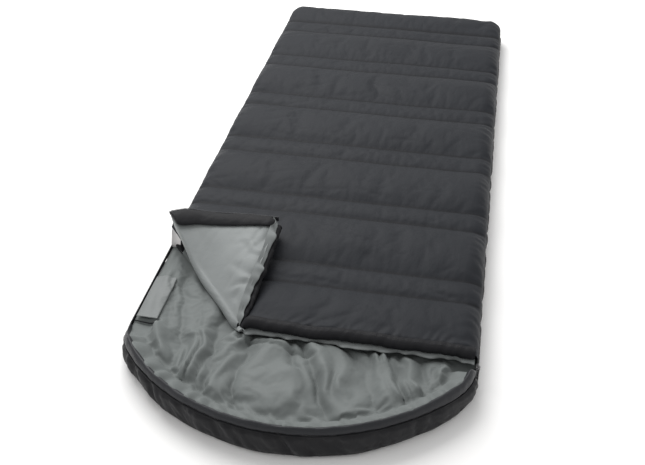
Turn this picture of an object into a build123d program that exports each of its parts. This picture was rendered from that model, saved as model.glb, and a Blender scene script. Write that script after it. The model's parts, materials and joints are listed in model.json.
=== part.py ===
# Rectangular sleeping bag, lying flat on its base. The cover is zipped down its right side and
# round the foot; its left head corner is unzipped and folded back on top of the cover.
# Millimetres. +X across the bag, +Y from head to foot, +Z up, origin on the floor under the
# middle of the bag. Soft pieces are plain closed solids of the real size and place.

import os
from math import atan2, degrees

from build123d import *

# Overall sizes
bag_length = 2200.0
bag_width = 850.0  # over the zip pulls, which stand out equally on both sides
head_depth = 300.0  # rounded end of the base, beyond the hem of the cover
head_side_radius = 165.0  # tight side curves of the rounded end
foot_radius = 70.0  # corners at the foot

# Fabric and filling
skin = 1.2  # shell and lining, with the loft that clings to them
layer_gap = 0.3  # between pieces that only rest on each other
base_wall_height = 38.0  # top edge of the base's side wall
lower_layer_height = 18.0  # first of the two layers of filling in the base
lining_level = 39.3  # underside of the base lining
lining_inset = 3.0  # base lining, in from the side walls
cover_inset = 8.0  # cover lining and filling, in from the side walls

# Quilting of the cover
head_channel = 175.0  # hem to the first seam
narrow_channel = 82.0
wide_channel = 213.0
least_foot_channel = 150.0
crown_ratio = 0.08  # rise of a channel for each millimetre between its seams
seam_level = 84.0
hem_level = 78.0
foot_level = 74.0
inner_layer_top = 70.0  # joint between the cover's two layers of filling

# Hem of the cover
hem_thickness = 3.0
hem_height = 24.0
hem_base = 52.0

# Folded corner
fold_leg = 320.0  # along the side and along the hem
fold_gap = 3.0  # each piece, back from the fold line along the edges
fold_clearance = 1.0  # fold line above the highest channel

# Zip
zip_standout = 7.0  # side wall in from the tips of the pulls
tape_thickness = 0.8
tape_height = 8.0
coil_thickness = 2.2
coil_height = 2.9
zip_split = 1.2  # between the two coils, clear of the slider's wedge
zip_head = 12.0  # zip runs on this far past the hem
stop_length = 2.7
slider_length = 16.0
slider_height = 11.0
plate_thickness = 1.2
slider_clearance = 0.35
flange_depth = 1.2
wedge_length = 5.0
wedge_thickness = 0.6
park_gap = 22.0  # from a slider's middle to the coil of the cover beside it
bar_radius = 0.7
eye_radius = 2.0
eye_bore = 1.0
eye_length = 4.2
eye_spacing = 5.2
tab_length = 24.0
tab_width = 4.0
tab_thickness = 1.4
ring_length = 20.0
ring_width = 9.5
ring_wire = 1.8
pull_splay = 14.0  # degrees, each pull off the plumb line
hinge_standout = 4.5  # line that the opened cover turns about, outside the wall

# Draft tubes along the inside of the zip
tube_width = 36.0
tube_height = 6.5
tube_corner = 3.0
tube_skin = 0.8

# Rim round the head end
rim_width = 38.0
rim_top = 88.0
rim_base = 62.0  # underside of the padded tube
rim_round = 10.0
piping_radius = 1.7
rim_start = 16.0  # rim begins this far past the hem
left_ramp = 120.0
right_ramp = 30.0

# Small pieces inside
pocket_width = 56.0
pocket_length = 152.0
pocket_thickness = 1.5
pocket_inset = 8.0
pocket_setback = 12.0  # from the hem line
label_width = 40.0
label_length = 26.0
label_thickness = 0.4
label_inset = 4.6

# Places worked out from the sizes above
half_fabric = bag_width / 2 - zip_standout
foot_y = bag_length / 2 - (coil_thickness - tape_thickness) / 2
hem_y = head_depth - bag_length / 2
lower_tape_z = base_wall_height + layer_gap
lower_coil_z = lower_tape_z + tape_height + layer_gap
zip_level = lower_coil_z + coil_height + zip_split / 2
upper_coil_z = zip_level + zip_split / 2
upper_tape_z = upper_coil_z + coil_height + layer_gap
cover_wall_z = upper_tape_z + tape_height + layer_gap
crest_level = seam_level + crown_ratio * wide_channel
fold_level = crest_level + fold_clearance
coil_proud = (coil_thickness - tape_thickness) / 2
tube_centre_x = half_fabric - cover_inset - tube_width / 2
tube_centre_z = zip_level - layer_gap - tube_height / 2
rim_y = hem_y - rim_start
zip_start = hem_y - zip_head
straight_end = foot_y - foot_radius
fold_axis = Axis((-half_fabric, hem_y + fold_leg, fold_level), (1, -1, 0))
right_slider_y = zip_start + slider_length / 2
left_slider_y = hem_y + fold_leg + park_gap
left_coil_start = left_slider_y + park_gap
left_coil_end = straight_end - 2 * park_gap
inside = skin + layer_gap
high = 3 * rim_top  # taller than anything a plan is cut from


def seam_rows():
    """Places in Y of the quilting seams: narrow and wide channels take turns."""
    rows = [hem_y + head_channel]
    while True:
        step = (narrow_channel, wide_channel)[(len(rows) - 1) % 2]
        if rows[-1] + step > foot_y - least_foot_channel:
            return rows
        rows.append(rows[-1] + step)


def base_outline(inset):
    """Base from above: straight sides, round foot corners and a head end of three arcs."""
    depth = head_depth - rim_start
    across = half_fabric - head_side_radius
    drop = depth - head_side_radius
    # the wide arc meets both side arcs without a kink
    centre = (across**2 - drop**2) / (2 * drop)
    wide_radius = centre + depth
    turn = degrees(atan2(-centre, across))
    edge = half_fabric - inset
    far = foot_y - inset
    with BuildSketch() as outline:
        with BuildLine():
            Polyline((edge, rim_y), (edge, far), (-edge, far), (-edge, rim_y))
            CenterArc((across, rim_y), head_side_radius - inset, 0, turn)
            CenterArc((0, rim_y + centre), wide_radius - inset, turn, -180 - 2 * turn)
            CenterArc((-across, rim_y), head_side_radius - inset, 180 - turn, turn)
        make_face()
        fillet(outline.vertices().group_by(Axis.Y)[-1], radius=foot_radius - inset)
    return outline.sketch


def band(outer, inner, level):
    """Strip between two insets of the base outline, at one height."""
    with BuildSketch(Plane.XY.offset(level)) as strip:
        add(base_outline(outer))
        add(base_outline(inner), mode=Mode.SUBTRACT)
    return strip.sketch


def cover_plan(inset, at_fold=fold_gap):
    """Cover from above, without its folded corner."""
    edge = half_fabric - inset
    near = hem_y + hem_thickness + layer_gap + inset
    far = foot_y - inset
    fold_y = hem_y + fold_leg + at_fold - inset
    fold_x = fold_leg + at_fold - half_fabric - (near - hem_y)
    with BuildSketch() as plan:
        with BuildLine():
            Polyline((fold_x, near), (edge, near), (edge, far), (-edge, far), (-edge, fold_y), close=True)
        make_face()
        fillet(plan.vertices().group_by(Axis.Y)[-1], radius=foot_radius - inset)
    return plan.sketch


def corner_plan(inset, at_fold=fold_gap):
    """Corner of the cover beyond the fold line, from above, laid flat again."""
    edge = half_fabric - inset
    near = hem_y + hem_thickness + layer_gap + inset
    fold_y = hem_y + fold_leg - at_fold - inset
    fold_x = fold_leg - at_fold - half_fabric - (near - hem_y)
    with BuildSketch() as plan:
        with BuildLine():
            Polyline((-edge, near), (fold_x, near), (-edge, fold_y), close=True)
        make_face()
    return plan.sketch


def quilted_block(plan, floor, drop=0.0):
    """Solid over a plan, flat at its floor, with a crowned channel between each two seams."""
    rows = seam_rows()
    stations = [(hem_y, hem_level)] + [(row, seam_level) for row in rows] + [(foot_y, foot_level)]
    stations = [(place, level - drop) for place, level in stations]
    with BuildPart() as block:
        with BuildSketch(Plane.YZ):
            with BuildLine():
                for start, end in zip(stations, stations[1:]):
                    SagittaArc(start, end, crown_ratio * (end[0] - start[0]))
                Polyline(stations[-1], (foot_y, floor), (hem_y, floor), stations[0])
            make_face()
        extrude(amount=bag_width, both=True)
        extrude(plan, amount=high, mode=Mode.INTERSECT)
    return block.part


def slab(plan, floor, top):
    """Flat layer over a plan."""
    with BuildPart() as layer:
        extrude(Plane.XY.offset(floor) * plan, amount=top - floor)
    return layer.part


def strip_box(x_low, x_high, y_low, y_high, z_low, z_high):
    """Straight strip between two corners."""
    with BuildPart() as strip:
        with Locations(((x_low + x_high) / 2, (y_low + y_high) / 2, (z_low + z_high) / 2)):
            Box(x_high - x_low, y_high - y_low, z_high - z_low)
    return strip.part


def tape_run(side, start, end, level):
    """Straight zip tape in a side wall; side is -1 or 1."""
    faces = sorted((side * half_fabric, side * (half_fabric - tape_thickness)))
    return strip_box(*faces, start, end, level, level + tape_height)


def coil_run(side, start, end, level):
    """Straight row of zip coil, centred on the tape it is sewn to."""
    outer = half_fabric + coil_proud
    faces = sorted((side * outer, side * (outer - coil_thickness)))
    return strip_box(*faces, start, end, level, level + coil_height)


def draft_tube(side, start, end, inset):
    """Flattened padded tube inside the zip, laid along the cover's edge."""
    with BuildPart() as tube:
        section = Plane((side * tube_centre_x, start, tube_centre_z), x_dir=(-1, 0, 0), z_dir=(0, 1, 0))
        with BuildSketch(section):
            RectangleRounded(tube_width - 2 * inset, tube_height - 2 * inset, tube_corner - inset)
        extrude(amount=end - start)
    return tube.part


def folded(piece):
    """A corner piece turned over on the fold line."""
    return piece.rotate(fold_axis, 180)


def rim_envelope():
    """Space the head rim may fill: it ramps up from the zip on each side."""
    with BuildPart() as envelope:
        for ramp, reach in ((left_ramp, -bag_width), (right_ramp, bag_width)):
            with BuildSketch(Plane.YZ):
                with BuildLine():
                    Polyline(
                        (rim_y, 0),
                        (rim_y, lining_level),
                        (rim_y - ramp, rim_top + 1),
                        (-bag_length, rim_top + 1),
                        (-bag_length, 0),
                        close=True,
                    )
                make_face()
            extrude(amount=reach)
    return envelope.part


def rim_block(outer, inner, floor):
    """Padded tube of the rim with a round top, inset by outer and inner on its two sides."""
    top = rim_top - inner
    with BuildPart() as block:
        extrude(band(outer, rim_width - inner, floor), amount=top - floor)
        fillet(block.edges().group_by(Axis.Z)[-1], radius=rim_round - inner)
    return block.part


def write(piece):
    """Each sub-part goes to its own file, named by its label."""
    export_step(piece, f"parts/{piece.label}.step")


os.makedirs("parts", exist_ok=True)

# ---- Base: shell, two layers of filling and lining ----

with BuildPart() as base_shell:
    extrude(base_outline(0), amount=base_wall_height)
    extrude(Plane.XY.offset(skin) * base_outline(skin), amount=high, mode=Mode.SUBTRACT)
base_shell.part.label = "base_shell"
write(base_shell.part)

lower_floor = inside
lower_top = lower_floor + lower_layer_height
with BuildPart() as base_filling_lower:
    add(slab(base_outline(inside), lower_floor, lower_top))
base_filling_lower.part.label = "base_filling_lower"
write(base_filling_lower.part)

with BuildPart() as base_filling_upper:
    add(slab(base_outline(inside), lower_top + layer_gap, lining_level - layer_gap))
base_filling_upper.part.label = "base_filling_upper"
write(base_filling_upper.part)

lining_top = lining_level + skin
with BuildPart() as base_lining:
    add(slab(base_outline(lining_inset), lining_level, lining_top))
base_lining.part.label = "base_lining"
write(base_lining.part)

# ---- Head rim: outer wall, piping, padded tube and its lining ----

rim_space = rim_envelope()

piping_floor = rim_base - layer_gap - 2 * piping_radius
with BuildPart() as head_wall:
    extrude(band(0, skin, lower_tape_z), amount=piping_floor - layer_gap - lower_tape_z)
    add(rim_space, mode=Mode.INTERSECT)
head_wall.part.label = "head_wall_shell"
write(head_wall.part)

with BuildPart() as rim_piping:
    extrude(band(0, 2 * piping_radius, piping_floor), amount=2 * piping_radius)
    add(rim_space, mode=Mode.INTERSECT)
rim_piping.part.label = "rim_piping"
write(rim_piping.part)

rim_outside = rim_block(0, 0, rim_base)
rim_hollow = rim_block(skin, skin, rim_base)
with BuildPart() as rim_shell:
    add(rim_outside)
    add(rim_hollow, mode=Mode.SUBTRACT)
    add(rim_space, mode=Mode.INTERSECT)
rim_shell.part.label = "rim_shell"
write(rim_shell.part)

rim_core = rim_block(2 * piping_radius + layer_gap, inside, lining_top + layer_gap)
with BuildPart() as rim_filling:
    add(rim_core)
    add(rim_space, mode=Mode.INTERSECT)
rim_filling.part.label = "rim_filling"
write(rim_filling.part)

with BuildPart() as rim_lining:
    extrude(
        band(rim_width - skin, rim_width, lining_top + layer_gap),
        amount=rim_base - layer_gap - lining_top - layer_gap,
    )
    add(rim_space, mode=Mode.INTERSECT)
rim_lining.part.label = "rim_lining"
write(rim_lining.part)

# ---- Small pieces sewn inside the base ----

pocket_x = pocket_inset - half_fabric
pocket_end = hem_y + pocket_setback + pocket_length
with BuildPart() as inner_pocket:
    add(
        strip_box(
            pocket_x,
            pocket_x + pocket_width,
            pocket_end - pocket_length,
            pocket_end,
            lining_top + layer_gap,
            lining_top + layer_gap + pocket_thickness,
        )
    )
inner_pocket.part.label = "inner_pocket"
write(inner_pocket.part)

label_x = label_inset - half_fabric
label_end = hem_y + fold_leg - fold_gap
with BuildPart() as care_label:
    add(
        strip_box(
            label_x,
            label_x + label_length,
            label_end - label_width,
            label_end,
            lining_top + layer_gap,
            lining_top + layer_gap + label_thickness,
        )
    )
care_label.part.label = "care_label"
write(care_label.part)

# ---- Zip halves on the base ----

above_head = Plane((0, zip_start, 0), z_dir=(0, 1, 0))

with BuildPart() as lower_zip_tape:
    extrude(band(0, tape_thickness, lower_tape_z), amount=tape_height)
    split(bisect_by=above_head, keep=Keep.TOP)
lower_zip_tape.part.label = "lower_zip_tape"
write(lower_zip_tape.part)

with BuildPart() as lower_zip_coil:
    extrude(band(-coil_proud, coil_thickness - coil_proud, lower_coil_z), amount=coil_height)
    split(bisect_by=above_head, keep=Keep.TOP)
lower_zip_coil.part.label = "lower_zip_coil"
write(lower_zip_coil.part)

right_end = straight_end - layer_gap
with BuildPart() as right_zip_tape:
    add(tape_run(1, zip_start, right_end, upper_tape_z))
right_zip_tape.part.label = "right_zip_tape"
write(right_zip_tape.part)

with BuildPart() as right_zip_coil:
    add(coil_run(1, zip_start, right_end, upper_coil_z))
right_zip_coil.part.label = "right_zip_coil"
write(right_zip_coil.part)

stop_end = zip_start - layer_gap
with BuildPart() as zip_stops:
    add(coil_run(1, stop_end - stop_length, stop_end, lower_coil_z))
    add(coil_run(1, stop_end - stop_length, stop_end, upper_coil_z))
    add(coil_run(-1, stop_end - stop_length, stop_end, lower_coil_z))
zip_stops.part.label = "zip_stops"
write(zip_stops.part)

# ---- Cover: shell, two layers of filling, lining, hem, draft tubes and zip halves ----

shell_block = quilted_block(cover_plan(0), cover_wall_z)
shell_hollow = quilted_block(cover_plan(skin, fold_gap - 1), cover_wall_z - 1, skin)
with BuildPart() as cover_shell:
    add(shell_block)
    add(shell_hollow, mode=Mode.SUBTRACT)
cover_shell.part.label = "cover_shell"
write(cover_shell.part)

outer_block = quilted_block(cover_plan(cover_inset), inner_layer_top + layer_gap, inside)
with BuildPart() as cover_filling_outer:
    add(outer_block)
cover_filling_outer.part.label = "cover_filling_outer"
write(cover_filling_outer.part)

inner_floor = zip_level + inside
with BuildPart() as cover_filling_inner:
    add(slab(cover_plan(cover_inset), inner_floor, inner_layer_top))
cover_filling_inner.part.label = "cover_filling_inner"
write(cover_filling_inner.part)

with BuildPart() as cover_lining:
    add(slab(cover_plan(cover_inset), zip_level, zip_level + skin))
cover_lining.part.label = "cover_lining"
write(cover_lining.part)

hem_start = fold_leg + fold_gap - half_fabric
hem_end = half_fabric - cover_inset
with BuildPart() as cover_hem:
    add(strip_box(hem_start, hem_end, hem_y, hem_y + hem_thickness, hem_base, hem_base + hem_height))
cover_hem.part.label = "cover_hem"
write(cover_hem.part)

tube_runs = {
    "left_draft_tube": (-1, hem_y + fold_leg + fold_gap, straight_end),
    "right_draft_tube": (1, hem_y + hem_thickness, straight_end),
}
for tube_name, run in tube_runs.items():
    with BuildPart() as tube_shell:
        add(draft_tube(*run, 0))
        add(draft_tube(*run, tube_skin), mode=Mode.SUBTRACT)
    tube_shell.part.label = tube_name
    write(tube_shell.part)
    with BuildPart() as tube_filling:
        add(draft_tube(*run, tube_skin + layer_gap))
    tube_filling.part.label = tube_name + "_filling"
    write(tube_filling.part)

with BuildPart() as left_zip_tape:
    add(tape_run(-1, left_coil_start, left_coil_end, upper_tape_z))
left_zip_tape.part.label = "left_zip_tape"
write(left_zip_tape.part)

with BuildPart() as left_zip_coil:
    add(coil_run(-1, left_coil_start, left_coil_end, upper_coil_z))
left_zip_coil.part.label = "left_zip_coil"
write(left_zip_coil.part)

foot_side = Plane((0, straight_end + layer_gap, 0), z_dir=(0, 1, 0))
with BuildPart() as foot_zip_tape:
    extrude(band(0, tape_thickness, upper_tape_z), amount=tape_height)
    split(bisect_by=foot_side, keep=Keep.TOP)
foot_zip_tape.part.label = "foot_zip_tape"
write(foot_zip_tape.part)

with BuildPart() as foot_zip_coil:
    extrude(band(-coil_proud, coil_thickness - coil_proud, upper_coil_z), amount=coil_height)
    split(bisect_by=foot_side, keep=Keep.TOP)
foot_zip_coil.part.label = "foot_zip_coil"
write(foot_zip_coil.part)

# ---- Folded corner: the same layers, turned over on the fold line ----

corner_block = quilted_block(corner_plan(0), cover_wall_z)
corner_hollow = quilted_block(corner_plan(skin, fold_gap - 1), cover_wall_z - 1, skin)
with BuildPart() as corner_shell:
    add(folded(corner_block))
    add(folded(corner_hollow), mode=Mode.SUBTRACT)
corner_shell.part.label = "corner_shell"
write(corner_shell.part)

corner_outer = quilted_block(corner_plan(cover_inset), inner_layer_top + layer_gap, inside)
with BuildPart() as corner_filling_outer:
    add(folded(corner_outer))
corner_filling_outer.part.label = "corner_filling_outer"
write(corner_filling_outer.part)

with BuildPart() as corner_filling_inner:
    add(folded(slab(corner_plan(cover_inset), inner_floor, inner_layer_top)))
corner_filling_inner.part.label = "corner_filling_inner"
write(corner_filling_inner.part)

with BuildPart() as corner_lining:
    add(folded(slab(corner_plan(cover_inset), zip_level, zip_level + skin)))
corner_lining.part.label = "corner_lining"
write(corner_lining.part)

corner_hem_end = fold_leg - fold_gap - half_fabric
with BuildPart() as corner_hem:
    add(
        folded(
            strip_box(
                cover_inset - half_fabric,
                corner_hem_end,
                hem_y,
                hem_y + hem_thickness,
                hem_base,
                hem_base + hem_height,
            )
        )
    )
corner_hem.part.label = "corner_hem"
write(corner_hem.part)

corner_run = (-1, hem_y + hem_thickness, hem_y + fold_leg - cover_inset - tube_width - fold_gap)
with BuildPart() as corner_draft_tube:
    add(folded(draft_tube(*corner_run, 0)))
    add(folded(draft_tube(*corner_run, tube_skin)), mode=Mode.SUBTRACT)
corner_draft_tube.part.label = "corner_draft_tube"
write(corner_draft_tube.part)

with BuildPart() as corner_draft_tube_filling:
    add(folded(draft_tube(*corner_run, tube_skin + layer_gap)))
corner_draft_tube_filling.part.label = "corner_draft_tube_filling"
write(corner_draft_tube_filling.part)

corner_zip_end = hem_y + fold_leg - fold_gap
with BuildPart() as corner_zip_tape:
    add(folded(tape_run(-1, hem_y, corner_zip_end, upper_tape_z)))
corner_zip_tape.part.label = "corner_zip_tape"
write(corner_zip_tape.part)

with BuildPart() as corner_zip_coil:
    add(folded(coil_run(-1, hem_y, corner_zip_end, upper_coil_z)))
corner_zip_coil.part.label = "corner_zip_coil"
write(corner_zip_coil.part)

# ---- Zip sliders, each with two pulls on its bridge ----

plate_face = half_fabric + coil_proud + slider_clearance  # inner face of the outer plate
plate_back = plate_face - coil_thickness - 2 * slider_clearance  # inner face of the inner plate
slit = tape_thickness / 2 + slider_clearance  # half of the gap that the tape runs through
tape_centre = half_fabric - tape_thickness / 2
bar_x = bag_width / 2 - eye_radius
bar_half = eye_spacing / 2 + eye_length / 2 + slider_clearance


def slider_body(side, place):
    """Two plates joined by a wedge, flanged round the coils, with a bridge for the pulls."""
    half_height = slider_height / 2
    ends = (place - slider_length / 2, place + slider_length / 2)
    with BuildPart() as body:
        for low in (plate_face, plate_back - plate_thickness):
            top = low + plate_thickness
            add(strip_box(low, top, *ends, zip_level - half_height, zip_level + half_height))
        for low, top in ((plate_back, tape_centre - slit), (tape_centre + slit, plate_face)):
            add(strip_box(low, top, *ends, zip_level - half_height, zip_level - half_height + flange_depth))
            add(strip_box(low, top, *ends, zip_level + half_height - flange_depth, zip_level + half_height))
        add(
            strip_box(
                plate_back,
                plate_face,
                ends[0],
                ends[0] + wedge_length,
                zip_level - wedge_thickness / 2,
                zip_level + wedge_thickness / 2,
            )
        )
        for end in (-1, 1):
            inner, outer = end * bar_half, end * (bar_half + plate_thickness)
            low, top = sorted((place + inner, place + outer))
            add(
                strip_box(
                    plate_face + plate_thickness,
                    bar_x + bar_radius,
                    low,
                    top,
                    zip_level - bar_radius,
                    zip_level + bar_radius,
                )
            )
        with BuildSketch(Plane((bar_x, place - bar_half, zip_level), z_dir=(0, 1, 0))):
            Circle(bar_radius)
        extrude(amount=2 * bar_half)
        if side < 0:
            mirror(about=Plane.YZ, mode=Mode.REPLACE)
    return body.part


def zip_pull(side, place, end):
    """Rolled eye on the bridge, a flat tab and an oval ring; end is -1 or 1 along the zip."""
    eye_y = place + end * eye_spacing / 2
    ring_y = eye_radius + tab_length + ring_length / 2 - ring_wire
    upright = Plane((bar_x, eye_y, zip_level), x_dir=(0, 1, 0), z_dir=(1, 0, 0))
    hang = upright.rotated((end * pull_splay, 0, 0))
    with BuildPart() as pull:
        with BuildSketch(Plane((bar_x, eye_y - eye_length / 2, zip_level), z_dir=(0, 1, 0))):
            Circle(eye_radius)
            Circle(eye_bore, mode=Mode.SUBTRACT)
        extrude(amount=eye_length)
        with BuildSketch(hang):
            with Locations((0, -(eye_bore + eye_radius) / 2 - tab_length / 2)):
                Rectangle(tab_width, tab_length)
            with Locations((0, -ring_y)):
                Ellipse(ring_width / 2, ring_length / 2)
                Ellipse(ring_width / 2 - ring_wire, ring_length / 2 - ring_wire, mode=Mode.SUBTRACT)
        extrude(amount=tab_thickness / 2, both=True)
        if side < 0:
            mirror(about=Plane.YZ, mode=Mode.REPLACE)
    return pull.part


for side_name, side, place in (("right", 1, right_slider_y), ("left", -1, left_slider_y)):
    slider = slider_body(side, place)
    slider.label = side_name + "_slider_body"
    write(slider)
    for end_name, end in (("head", -1), ("foot", 1)):
        pull = zip_pull(side, place, end)
        pull.label = f"{side_name}_pull_{end_name}"
        write(pull)

print("seam rows", [round(row, 1) for row in seam_rows()])
print("right slider travel", right_end - slider_length / 2 - right_slider_y)
print("left slider travel", straight_end - park_gap - left_slider_y)
print("cover hinge x", half_fabric + hinge_standout, "z", cover_wall_z)
print("fold axis at", fold_axis.position, "zip level", zip_level, "bar", bar_x)
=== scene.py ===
import json
from math import atan2, copysign, cos, exp, hypot, pi, radians, sin, sqrt

import bmesh
import bpy
from mathutils import Matrix, Vector, bvhtree, noise


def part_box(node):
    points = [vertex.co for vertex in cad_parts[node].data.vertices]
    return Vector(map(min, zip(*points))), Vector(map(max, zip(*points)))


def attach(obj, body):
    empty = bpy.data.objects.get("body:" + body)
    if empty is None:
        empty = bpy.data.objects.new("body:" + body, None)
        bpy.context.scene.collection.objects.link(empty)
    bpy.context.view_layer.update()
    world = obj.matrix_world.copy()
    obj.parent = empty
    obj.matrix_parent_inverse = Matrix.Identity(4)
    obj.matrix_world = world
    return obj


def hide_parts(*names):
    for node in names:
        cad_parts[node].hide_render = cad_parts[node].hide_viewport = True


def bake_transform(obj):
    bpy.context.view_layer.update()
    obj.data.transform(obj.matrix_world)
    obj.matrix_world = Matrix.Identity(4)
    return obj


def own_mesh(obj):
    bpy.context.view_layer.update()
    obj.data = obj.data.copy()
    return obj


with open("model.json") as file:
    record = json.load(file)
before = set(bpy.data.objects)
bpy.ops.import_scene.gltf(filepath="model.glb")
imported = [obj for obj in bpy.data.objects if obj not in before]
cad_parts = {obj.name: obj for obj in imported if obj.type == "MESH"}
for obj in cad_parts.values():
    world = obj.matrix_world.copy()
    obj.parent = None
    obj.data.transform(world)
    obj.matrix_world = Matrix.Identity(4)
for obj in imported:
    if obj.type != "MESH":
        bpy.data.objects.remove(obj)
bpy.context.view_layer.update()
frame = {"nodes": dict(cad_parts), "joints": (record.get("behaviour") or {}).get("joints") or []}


def corners(node):
    low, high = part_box(node)
    return Vector(low), Vector(high)


baseLow, baseHigh = corners("base_shell")
coverLow = corners("cover_shell")[0]
lowerCoilLow, lowerCoilHigh = corners("lower_zip_coil")
upperCoilLow, upperCoilHigh = corners("right_zip_coil")

wallX = baseHigh.x
headY = baseLow.y
footY = baseHigh.y
hemY = corners("cover_hem")[0].y
foldJoint = [j for j in frame["joints"] if j["name"] == "corner_fold"][0]
foldPoint = Vector(foldJoint["pos_m"])
foldLine = Vector(foldJoint["axis"]).normalized()
foldLeg = foldPoint.y - hemY
foldOut = Vector((1, 1, 0)).normalized()  # across the fold line, from the open corner to the cover
rimStartY = corners("lower_zip_tape")[0].y - 0.004
root2 = sqrt(2)


class Wire:
    def __init__(self, shade, socket):
        self.shade = shade
        self.socket = socket

    def join(self, operation, other, swap=False):
        pair = [self, other]
        if swap:
            pair.reverse()
        return self.shade.node("ShaderNodeMath", {"operation": operation}, {0: pair[0], 1: pair[1]})

    def __add__(self, other):
        return self.join("ADD", other)

    def __radd__(self, other):
        return self.join("ADD", other, True)

    def __sub__(self, other):
        return self.join("SUBTRACT", other)

    def __rsub__(self, other):
        return self.join("SUBTRACT", other, True)

    def __mul__(self, other):
        return self.join("MULTIPLY", other)

    def __rmul__(self, other):
        return self.join("MULTIPLY", other, True)

    def __pow__(self, other):
        return self.join("POWER", other)


class Shade:
    def __init__(self, name, roughness=0.5, **fixed):
        self.material = bpy.data.materials.new(name)
        self.material.use_nodes = True
        self.tree = self.material.node_tree
        self.surface = self.tree.nodes["Principled BSDF"]
        self.surface.inputs["Roughness"].default_value = roughness
        for key, value in fixed.items():
            self.surface.inputs[key.replace("_", " ")].default_value = value

    def node(self, kind, settings, values, output=0):
        node = self.tree.nodes.new(kind)
        for key, value in settings.items():
            if key == "stops":
                ramp = node.color_ramp
                while len(ramp.elements) < len(value):
                    ramp.elements.new(0.5)
                for element, (place, colour) in zip(ramp.elements, value):
                    element.position = place
                    element.color = (*colour, 1)
            else:
                setattr(node, key, value)
        for key, value in values.items():
            self.feed(node.inputs[key], value)
        return Wire(self, node.outputs[output])

    def feed(self, socket, value):
        if isinstance(value, Wire):
            self.tree.links.new(value.socket, socket)
        else:
            socket.default_value = value

    def place(self):
        return self.node("ShaderNodeTexCoord", {}, {}, "Object")

    def cloth(self):
        return self.node("ShaderNodeUVMap", {"uv_map": "cloth"}, {}, "UV")

    def mapped(self, vector, scale, turn=(0, 0, 0)):
        return self.node("ShaderNodeMapping", {}, {"Vector": vector, "Scale": scale, "Rotation": turn})

    def noise(self, vector, scale, detail=2.0, rough=0.5, distort=0.0):
        values = {"Vector": vector, "Scale": scale, "Detail": detail, "Roughness": rough, "Distortion": distort}
        return self.node("ShaderNodeTexNoise", {}, values, "Fac")

    def rows(self, vector, scale, direction, distort=0.0):
        settings = {"wave_type": "BANDS", "bands_direction": direction}
        values = {"Vector": vector, "Scale": scale, "Distortion": distort, "Detail": 0.0}
        return self.node("ShaderNodeTexWave", settings, values, "Fac")

    def blend(self, amount, low, high):
        values = {"Factor": amount, 6: low, 7: high}
        return self.node("ShaderNodeMix", {"data_type": "RGBA"}, values, 2)

    def bump(self, height, distance, strength=1.0, before=None):
        values = {"Height": height, "Distance": distance, "Strength": strength}
        if before:
            values["Normal"] = before
        return self.node("ShaderNodeBump", {}, values, "Normal")

    def finish(self, colour, rough=None, normal=None):
        self.feed(self.surface.inputs["Base Color"], colour)
        if rough:
            self.feed(self.surface.inputs["Roughness"], rough)
        if normal:
            self.feed(self.surface.inputs["Normal"], normal)
        return self.material


def colour(*rgb):
    return (*rgb, 1.0)


def clothMaterial(name, dark, light, rough, sheen, crease,
                  weave=0.00012, spacing=0.0011, gloss=0.3, paintSeamShade=False):
    # crease and weave are bump heights, and spacing is the distance between threads
    shade = Shade(name, rough, Sheen_Weight=sheen, Sheen_Roughness=0.45, Specular_IOR_Level=gloss)
    uv = shade.cloth()
    place = shade.place()
    waveScale = 1 / spacing / 3.1416
    warp = shade.rows(uv, waveScale, "X", 0.6)
    weft = shade.rows(uv, waveScale, "Y", 0.6)
    threads = warp * 0.5 + weft * 0.5
    patches = shade.noise(place, 5.0, 3.0, 0.55)
    fuzz = shade.noise(uv, 900.0, 2.0, 0.7)
    tone = patches * 0.75 + threads * 0.12 + fuzz * 0.13
    tint = shade.blend(tone, colour(*dark), colour(*light))
    # paintSeamShade blends the colour towards near black by the "seam" attribute: painted shade in the valleys
    # along the quilting seams and in the pinches between the hem gathers
    if paintSeamShade:
        seam = shade.node("ShaderNodeAttribute", {"attribute_name": "seam"}, {}, "Fac")
        tint = shade.blend(seam * 0.8, tint, colour(0.004, 0.004, 0.005))
    ripple = shade.noise(shade.mapped(uv, (1.0, 0.6, 1.0)), 55.0, 3.0, 0.55, 0.4)
    slubs = shade.noise(uv, 260.0, 2.0, 0.6)
    soft = shade.bump(ripple, crease)
    fine = shade.bump(slubs * 0.6 + threads * 0.4, weave, 0.8, soft)
    return shade.finish(tint, patches * 0.12 + (rough - 0.06), fine)


print("materials")
shellCloth = clothMaterial(
    "shellCloth", (0.008, 0.008, 0.009), (0.014, 0.014, 0.016), 0.52, 0.02, 0.0016, gloss=0.19)
coverCloth = clothMaterial(
    "coverCloth", (0.011, 0.012, 0.015), (0.021, 0.023, 0.027), 0.60, 0.03, 0.0012, paintSeamShade=True, gloss=0.14)
rimCloth = clothMaterial(
    "rimCloth", (0.010, 0.011, 0.013), (0.020, 0.021, 0.025), 0.50, 0.05, 0.0016)
trimCloth = clothMaterial(
    "trimCloth", (0.007, 0.007, 0.008), (0.013, 0.013, 0.015), 0.6, 0.02, 0.0012, gloss=0.14)
# the next two materials are one lining fabric in two tones: the darker copy is painted shade for the tray and
# the cover's lining, the lighter copy is painted light for the turned corner, the hem's lining strip and its
# turn
shadedLiningCloth = clothMaterial(
    "shadedLiningCloth", (0.122, 0.134, 0.131), (0.172, 0.186, 0.183), 0.62, 0.05, 0.0012, 0.00006, 0.0008, gloss=0.2)
litLiningCloth = clothMaterial(
    "litLiningCloth", (0.172, 0.185, 0.184), (0.235, 0.250, 0.249), 0.55, 0.05, 0.0009, 0.00006, 0.0008)
pocketCloth = clothMaterial(
    "pocketCloth", (0.135, 0.145, 0.143), (0.175, 0.187, 0.185), 0.5, 0.05, 0.0008)
labelCloth = clothMaterial(
    "labelCloth", (0.80, 0.77, 0.765), (0.88, 0.86, 0.855), 0.5, 0.1, 0.0006)


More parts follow.
